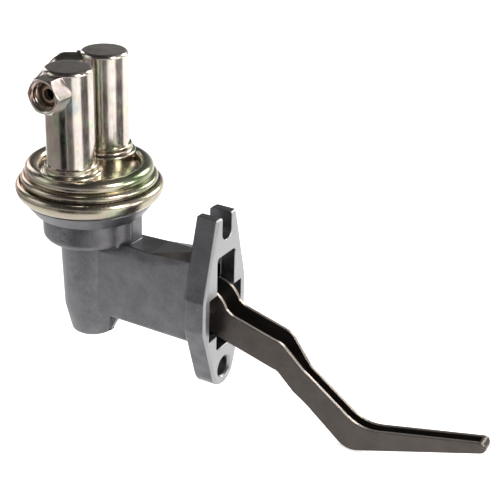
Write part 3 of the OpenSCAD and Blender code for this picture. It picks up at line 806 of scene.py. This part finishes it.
    def _light(self, box: SoftBox) -> None:
        """Hangs one soft box.

        Args:
            box: The light.
        """
        light = bpy.data.lights.new(box.name, "AREA")
        light.shape = "RECTANGLE"
        light.size, light.size_y = box.size
        light.energy = box.power
        light.color = box.color
        rise = math.radians(box.elevation)
        ray = self._direction(box.bearing) * math.cos(rise) + Vector((0.0, 0.0, math.sin(rise)))
        lamp = bpy.data.objects.new(box.name, light)
        lamp.location = Vector(self.aim) + ray * box.distance
        lamp.rotation_mode = "QUATERNION"
        lamp.rotation_quaternion = (-ray).to_track_quat("-Z", "Y")
        bpy.context.scene.collection.objects.link(lamp)

    def _camera(self) -> None:
        """Sets the camera up."""
        view = self.view
        azimuth, elevation, roll = (math.radians(a) for a in (view.azimuth, view.elevation, view.roll))
        back = Vector((
            math.sin(azimuth) * math.cos(elevation),
            -math.cos(azimuth) * math.cos(elevation),
            math.sin(elevation),
        ))
        right = (-back).cross(Vector((0, 0, 1))).normalized()
        up = right.cross(-back)
        side = math.cos(roll) * right + math.sin(roll) * up
        top = -math.sin(roll) * right + math.cos(roll) * up
        camera = bpy.data.cameras.new("camera")
        camera.lens = view.lens_mm
        camera.sensor_width = view.sensor_mm
        camera.clip_start, camera.clip_end = view.clip
        rig = bpy.data.objects.new("camera", camera)
        turned = Matrix((side, top, back)).transposed().to_4x4()
        rig.matrix_world = Matrix.Translation(view.place) @ turned
        bpy.context.scene.collection.objects.link(rig)
        bpy.context.scene.camera = rig


def add_object(name: str, mesh: bpy.types.Mesh) -> bpy.types.Object:
    """Links a new object at the origin.

    Args:
        name: The object's name.
        mesh: Its mesh, already in place.

    Returns:
        The object.
    """
    made = bpy.data.objects.new(name, mesh)
    bpy.context.scene.collection.objects.link(made)
    return made


def tube_along(path: Sequence[Vector], radius: float, sides: int = 8) -> bpy.types.Mesh:
    """Sweeps a round section along a closed path.

    Args:
        path: Points of the closed path in metres.
        radius: Section radius in metres.
        sides: Sides of the section.

    Returns:
        The mesh.
    """
    points, faces = [], []
    count = len(path)
    center = sum(path, Vector()) / count
    for i, here in enumerate(path):
        along = (path[(i + 1) % count] - path[i - 1]).normalized()
        out = (here - center).normalized()
        up = along.cross(out).normalized()
        for k in range(sides):
            turn = 2 * math.pi * k / sides
            points.append(here + radius * (math.cos(turn) * out + math.sin(turn) * up))
    for i in range(count):
        j = (i + 1) % count
        for k in range(sides):
            m = (k + 1) % sides
            faces.append((i * sides + k, i * sides + m, j * sides + m, j * sides + k))
    mesh = bpy.data.meshes.new("tube")
    mesh.from_pydata(points, [], faces)
    mesh.update()
    return mesh


def point_outwards(mesh: bpy.types.Mesh) -> None:
    """Turns a closed mesh's faces outwards.

    Args:
        mesh: The mesh to mend.
    """
    work = bmesh.new()
    work.from_mesh(mesh)
    bmesh.ops.recalc_face_normals(work, faces=work.faces)
    work.to_mesh(mesh)
    work.free()


def mark_bare_and_highlight(mesh: bpy.types.Mesh, chosen: Callable[[Vector, Vector], float]) -> None:
    """Writes each face's share of the lighter colour, a painted highlight and, on the casting's mating face,
    machined metal with a painted reflection.

    Args:
        mesh: The mesh.
        chosen: Gives a face's share from its middle, in millimetres, and its normal.
    """
    layer = mesh.attributes.new(BARE_AND_HIGHLIGHT, "FLOAT", "FACE")
    layer.data.foreach_set("value", [chosen(face.center / MM, face.normal) for face in mesh.polygons])


class HelixTree:
    """Geometry Nodes tree that sweeps a round or pointed section along a helix."""

    def __init__(self) -> None:
        """Builds the tree once, for every spring and thread."""
        self.tree = bpy.data.node_groups.new("SweptHelix", "GeometryNodeTree")
        sockets = self.tree.interface
        sizes = {
            "Radius": 0.01,
            "Height": 0.02,
            "Turns": 5.0,
            "Steps per turn": 48,
            "Section radius": 0.001,
            "Section sides": 12,
        }
        for name, value in sizes.items():
            kind = "NodeSocketInt" if isinstance(value, int) else "NodeSocketFloat"
            sockets.new_socket(name=name, in_out="INPUT", socket_type=kind).default_value = value
        sockets.new_socket(name="Material", in_out="INPUT", socket_type="NodeSocketMaterial")
        sockets.new_socket(name="Geometry", in_out="OUTPUT", socket_type="NodeSocketGeometry")
        g = NodeTree(self.tree)
        given = g.add("NodeGroupInput").outputs
        path = g.add("GeometryNodeCurveSpiral")
        g.link(given["Steps per turn"], path.inputs["Resolution"])
        g.link(given["Turns"], path.inputs["Rotations"])
        g.link(given["Radius"], path.inputs["Start Radius"])
        g.link(given["Radius"], path.inputs["End Radius"])
        g.link(given["Height"], path.inputs["Height"])
        section = g.add("GeometryNodeCurvePrimitiveCircle")
        g.link(given["Section sides"], section.inputs["Resolution"])
        g.link(given["Section radius"], section.inputs["Radius"])
        sweep = g.add("GeometryNodeCurveToMesh")
        sweep.inputs["Fill Caps"].default_value = True
        g.link(path.outputs[0], sweep.inputs["Curve"])
        g.link(section.outputs[0], sweep.inputs["Profile Curve"])
        real = g.add("GeometryNodeRealizeInstances")
        paint = g.add("GeometryNodeSetMaterial")
        g.link(sweep.outputs[0], real.inputs[0])
        g.link(real.outputs[0], paint.inputs["Geometry"])
        g.link(given["Material"], paint.inputs["Material"])
        g.link(paint.outputs[0], g.add("NodeGroupOutput").inputs["Geometry"])

    def make(self, name: str, place: Matrix, values: dict[str, object]) -> bpy.types.Object:
        """Makes one helix as a plain mesh.

        Args:
            name: The piece's name.
            place: Where the helix's foot stands, with its axis along local Z.
            values: Values of the tree's named inputs, with lengths in metres.

        Returns:
            The new object, with its place in its mesh.
        """
        empty = bpy.data.meshes.new(name + "_rule")
        holder = add_object(name + "_rule", empty)
        modifier = holder.modifiers.new("helix", "NODES")
        modifier.node_group = self.tree
        for item in self.tree.interface.items_tree:
            if item.in_out == "INPUT" and item.name in values:
                modifier[item.identifier] = values[item.name]
        evaluated = holder.evaluated_get(bpy.context.evaluated_depsgraph_get())
        mesh = bpy.data.meshes.new_from_object(evaluated)
        mesh.name = name
        mesh.transform(place)
        bpy.data.objects.remove(holder)
        bpy.data.meshes.remove(empty)
        return add_object(name, mesh)


class Workshop:
    """Makes and dresses the pieces, with one material library and one helix tree for all of them."""

    # Corners of a CAD mesh's loose triangles that lie closer than this are one.
    MERGE_MM = 0.003
    # Faces that turn less than this, in degrees, are one flat face.
    FLAT_ANGLE = 0.6
    BEVEL_SEGMENTS = 2

    def __init__(self) -> None:
        """Builds the materials and the helix tree."""
        self.library = MaterialLibrary(FINISHES)
        self.helix = HelixTree()

    def paint_nodes(self) -> None:
        """Gives every CAD node its slot's material."""
        slots = {part["node"]: part["material_slot"] for part in frame["record"]["subparts"]}
        for name, node in frame["nodes"].items():
            node.data.materials.clear()
            node.data.materials.append(self.library[Slot(slots[name])])
            LOG.info("%s: painted %s", name, slots[name])

    def finish(self, made: bpy.types.Object, slot: Slot, body: str) -> None:
        """Gives a piece its finish and its body.

        Args:
            made: The piece.
            slot: Its finish.
            body: The CAD body it moves with.
        """
        made.data.materials.clear()
        made.data.materials.append(self.library[slot])
        made.data.shade_smooth()
        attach(made, body)
        LOG.info("%s: %d faces, rides on %s", made.name, len(made.data.polygons), body)

    def wind(
        self, name: str, slot: Slot, body: str, place: Matrix, sizes: dict[str, float]
    ) -> bpy.types.Object:
        """Makes and finishes one spring or thread.

        Args:
            name: The piece's name.
            slot: Its finish.
            body: The CAD body it moves with.
            place: Where its foot stands, with its axis along local Z.
            sizes: Values of the helix tree's inputs, with lengths in metres.

        Returns:
            The new object.
        """
        made = self.helix.make(name, place, {**sizes, "Material": self.library[slot]})
        self.finish(made, slot, body)
        return made

    def rounded_copy(
        self, node: str, name: str, width_mm: float, angle: float, slot: Slot, join_flats: bool = False
    ) -> bpy.types.Object:
        """Copy of a CAD node with its sharp edges rounded.

        Args:
            node: The CAD node.
            name: The new piece's name.
            width_mm: Width of the rounding.
            angle: Least angle, in degrees, between faces whose edge is rounded.
            slot: The finish.
            join_flats: Whether the triangles of a flat face are joined first.

        Returns:
            The new object, which rides with the node's body and stands for the node.
        """
        source = frame["nodes"][node]
        work = bmesh.new()
        work.from_mesh(source.data)
        bmesh.ops.remove_doubles(work, verts=work.verts, dist=self.MERGE_MM * MM)
        if join_flats:
            flat = math.radians(self.FLAT_ANGLE)
            bmesh.ops.dissolve_limit(work, angle_limit=flat, verts=work.verts, edges=work.edges)
        mesh = bpy.data.meshes.new(name + "_base")
        work.to_mesh(mesh)
        work.free()
        mesh.shade_smooth()
        mesh.set_sharp_from_angle(angle=math.radians(angle))
        made = add_object(name, mesh)
        edges = made.modifiers.new("edges", "BEVEL")
        edges.width = width_mm * MM
        edges.segments = self.BEVEL_SEGMENTS
        edges.limit_method = "ANGLE"
        edges.angle_limit = math.radians(angle)
        edges.use_clamp_overlap = False
        edges.miter_outer = "MITER_ARC"
        level = made.modifiers.new("level", "WEIGHTED_NORMAL")
        level.keep_sharp = True
        evaluated = made.evaluated_get(bpy.context.evaluated_depsgraph_get())
        rounded = bpy.data.meshes.new_from_object(evaluated)
        made.modifiers.clear()
        made.data = rounded
        rounded.name = name
        self.finish(made, slot, source["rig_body"])
        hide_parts(node)
        return made


@dataclass
class DieCastHousing:
    """The casting with broken edges, a lighter mating face of machined metal with a painted reflection and a
    painted rim highlight, and an ejector pin's mark.

    Attributes:
        edge_mm: Rounding of the casting's edges.
        edge_angle: Least angle, in degrees, of an edge that is rounded.
        face_depth_mm: How far the mating face's rounded rim reaches behind X = 0.
        face_turn: Least share of X in the normal there.
        drum_r_mm: Radius of the drum.
        mark_bearing: Angle of the ejector mark round the drum, in degrees.
        mark_height_mm: Height of its middle.
        mark_r_mm: Its radius.
        mark_lip_mm: Section radius of its lip.
        mark_steps: Points round it.
    """

    edge_mm: float = 0.4
    edge_angle: float = 28.0
    face_depth_mm: float = 1.5
    face_turn: float = 0.3
    drum_r_mm: float = 27.4
    mark_bearing: float = -88.5
    mark_height_mm: float = 25.6
    mark_r_mm: float = 2.6
    mark_lip_mm: float = 0.24
    mark_steps: int = 48

    def build(self, shop: Workshop) -> None:
        """Builds the casting and its mark.

        Args:
            shop: The workshop.
        """
        casting = shop.rounded_copy(
            "lower_body", "housing_casting", self.edge_mm, self.edge_angle, Slot.CASTING, join_flats=True
        )
        mark_bare_and_highlight(casting.data, self._mating_face)
        mark = add_object("ejector_mark", self._ejector_mark())
        shop.finish(mark, Slot.CASTING, "housing")

    def _mating_face(self, middle: Vector, normal: Vector) -> float:
        """Share of the lighter colour on a face: machined metal with a painted reflection on the mating
        face, and a painted highlight on its rim.

        Args:
            middle: The face's middle in millimetres.
            normal: Its normal.

        Returns:
            1 on the mating face and its rounded rim, else 0.
        """
        return 1.0 if normal.x > self.face_turn and middle.x > -self.face_depth_mm else 0.0

    def _ejector_mark(self) -> bpy.types.Mesh:
        """Round lip that follows the drum, which shares its axis with the crimp ring.

        Returns:
            The mesh.
        """
        low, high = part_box("crimp_ring")
        axis_x = (low[0] + high[0]) / 2
        path = []
        for i in range(self.mark_steps):
            a = 2 * math.pi * i / self.mark_steps
            turn = math.radians(self.mark_bearing) + self.mark_r_mm * math.cos(a) / self.drum_r_mm
            x, y = self.drum_r_mm * math.cos(turn), self.drum_r_mm * math.sin(turn)
            z = self.mark_height_mm + self.mark_r_mm * math.sin(a)
            path.append(Vector((axis_x, 0.0, 0.0)) + Vector((x, y, z)) * MM)
        mesh = tube_along(path, self.mark_lip_mm * MM)
        point_outwards(mesh)
        return mesh


@dataclass
class PressedRocker:
    """The pressed rocker arm with rounded sheet edges and a painted highlight on the upper edges of its side
    walls.

    Attributes:
        edge_mm: Rounding of the sheet's edges.
        edge_angle: Least angle, in degrees, of an edge that is rounded.
        sheet_mm: Thickness of the sheet.
        slack_mm: How far beyond the sheet a face still belongs to a side wall.
        step_mm: Length of the steps in which the arm's width is taken.
        least_rise: Least share of Z in the normal of a sheared edge that gets the painted highlight.
        most_side: Greatest share of Y in it.
    """

    edge_mm: float = 0.3
    edge_angle: float = 35.0
    sheet_mm: float = 2.0
    slack_mm: float = 0.1
    step_mm: float = 4.0
    least_rise: float = 0.25
    most_side: float = 0.8

    def build(self, shop: Workshop) -> None:
        """Builds the arm and marks its sheared upper edges for the painted highlight.

        Args:
            shop: The workshop.
        """
        arm = shop.rounded_copy(
            "rocker_arm", "rocker_pressing", self.edge_mm, self.edge_angle, Slot.ROCKER
        )
        widths: dict[int, float] = {}
        for vertex in arm.data.vertices:
            step = int(vertex.co.x / MM // self.step_mm)
            widths[step] = max(widths.get(step, 0.0), abs(vertex.co.y / MM))
        mark_bare_and_highlight(arm.data, lambda middle, normal: self._sheared(middle, normal, widths))

    def _sheared(self, middle: Vector, normal: Vector, widths: dict[int, float]) -> float:
        """Share of the painted highlight on a face.

        Args:
            middle: The face's middle in millimetres.
            normal: Its normal.
            widths: Half width of the arm by steps along X.

        Returns:
            1 on the upward-facing sheared edges of the side walls, which get the painted highlight, else 0.
        """
        side = widths.get(int(middle.x // self.step_mm), 0.0)
        on_wall = abs(middle.y) > side - self.sheet_mm - self.slack_mm
        upwards = normal.z > self.least_rise and abs(normal.y) < self.most_side
        return 1.0 if on_wall and upwards else 0.0


@dataclass
class OutletPort:
    """Thread inside the outlet's hexagon, which faces -Y.

    Attributes:
        bore_r_mm: Radius of the bore that carries the thread.
        sink_mm: How far the middle of the crests' section lies behind the bore's wall.
        pitch_mm: Pitch of the thread.
        depth_mm: How deep the thread runs.
        mouth_mm: How far behind the face it starts.
        crest_mm: Radius of the crests' section.
        crest_sides: Sides of that section.
        steps: Steps in one turn.
        sharp_angle: Least angle, in degrees, of an edge that stays sharp.
    """

    bore_r_mm: float = 7.2
    sink_mm: float = 0.02
    pitch_mm: float = 1.411
    depth_mm: float = 4.9
    mouth_mm: float = 1.5
    crest_mm: float = 0.42
    crest_sides: int = 4
    steps: int = 220
    sharp_angle: float = 40.0

    def build(self, shop: Workshop) -> None:
        """Adds the thread's crests to the bore.

        Args:
            shop: The workshop.
        """
        length = self.depth_mm - self.mouth_mm
        low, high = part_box("outlet_fitting")
        foot = (Vector(low) + Vector(high)) / 2
        foot.y = low[1] + self.depth_mm * MM
        place = Matrix.Translation(foot) @ Matrix.Rotation(math.radians(90), 4, "X")
        thread = shop.wind("outlet_thread", Slot.CAN, "housing", place, {
            "Radius": (self.bore_r_mm + self.sink_mm) * MM,
            "Height": length * MM,
            "Turns": length / self.pitch_mm,
            "Steps per turn": self.steps,
            "Section radius": self.crest_mm * MM,
            "Section sides": self.crest_sides,
        })
        thread.data.set_sharp_from_angle(angle=math.radians(self.sharp_angle))


@dataclass(frozen=True)
class Coil:
    """One helical spring.

    Attributes:
        node: The CAD node it stands for.
        wire_mm: Wire diameter.
        turns: Number of turns.
        joint: The joint that squeezes it. Not used.
        fixed_z: Height of its fixed end in metres. Not used.
        travel: How far its moving end goes, in metres. Not used.
    """

    node: str
    wire_mm: float
    turns: float
    joint: str
    fixed_z: float
    travel: float


@dataclass
class SpringSet:
    """The springs inside the pump, as smooth coils.

    Attributes:
        coils: The springs.
        wire_sides: Sides of the wire's section.
        fineness: Steps in one turn, for each turn that the spring has.
    """

    coils: tuple[Coil, ...] = (
        Coil("diaphragm_spring", 2.0, 4.0, "rod_slide", 0.0272, ROD_TRAVEL),
        Coil("rocker_spring", 1.8, 8.0, "cup_slide", -0.036, ROD_TRAVEL),
        Coil("inlet_valve_spring", 0.5, 3.0, "inlet_valve_slide", 0.0579, VALVE_TRAVEL),
        Coil("outlet_valve_spring", 0.5, 3.0, "outlet_valve_slide", 0.0699, VALVE_TRAVEL),
    )
    wire_sides: int = 12
    fineness: int = 40

    def build(self, shop: Workshop) -> None:
        """Winds the springs and hides the CAD springs.

        Args:
            shop: The workshop.
        """
        for coil in self.coils:
            low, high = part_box(coil.node)
            wire = coil.wire_mm * MM
            length = high[2] - low[2]
            middle = (Vector(low) + Vector(high)) / 2
            foot = Matrix.Translation((middle.x, middle.y, low[2] + wire / 2))
            body = frame["nodes"][coil.node]["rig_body"]
            spring = shop.wind(coil.node + "_wire", Slot.SPRING, body, foot, {
                "Radius": (high[0] - low[0]) / 2 - wire / 2,
                "Height": length - wire,
                "Turns": coil.turns,
                "Steps per turn": int(coil.turns * self.fineness),
                "Section radius": wire / 2,
                "Section sides": self.wire_sides,
            })
            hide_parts(coil.node)
            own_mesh(spring)


@dataclass
class DiaphragmSheet:
    """The diaphragm, as a rounded copy of the CAD sheet.

    Attributes:
        edge_mm: Rounding of its edges.
        edge_angle: Least angle, in degrees, of an edge that is rounded.
        seat_z: Height of the clamped rim in metres. Not used.
    """

    edge_mm: float = 0.15
    edge_angle: float = 40.0
    seat_z: float = 0.0484

    def build(self, shop: Workshop) -> None:
        """Builds the sheet in the CAD sheet's place.

        Args:
            shop: The workshop.
        """
        sheet = shop.rounded_copy(
            "main_diaphragm", "diaphragm_sheet", self.edge_mm, self.edge_angle, Slot.RUBBER
        )
        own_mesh(sheet)


@dataclass(frozen=True)
class TurnedPart:
    """One turned part.

    Attributes:
        node: The CAD node.
        edge_mm: Rounding of its edges.
        edge_angle: Least angle, in degrees, of an edge that is rounded.
        slot: Its finish.
    """

    node: str
    edge_mm: float
    edge_angle: float
    slot: Slot


@dataclass
class TurnedParts:
    """The turned parts, with their edges broken.

    Attributes:
        parts: The parts.
    """

    parts: tuple[TurnedPart, ...] = (
        TurnedPart("outlet_fitting", 0.14, 24.0, Slot.CAN),
        TurnedPart("pivot_pin", 0.35, 50.0, Slot.PIN),
    )

    def build(self, shop: Workshop) -> None:
        """Builds each part.

        Args:
            shop: The workshop.
        """
        for part in self.parts:
            shop.rounded_copy(part.node, part.node + "_turned", part.edge_mm, part.edge_angle, part.slot)


def main() -> None:
    """Builds the studio and every sub-assembly."""
    logging.basicConfig(level=logging.INFO, format="%(name)s: %(message)s")
    Studio().build()
    shop = Workshop()
    shop.paint_nodes()
    DieCastHousing().build(shop)
    PressedRocker().build(shop)
    OutletPort().build(shop)
    SpringSet().build(shop)
    DiaphragmSheet().build(shop)
    TurnedParts().build(shop)


if __name__ == "__main__":
    main()
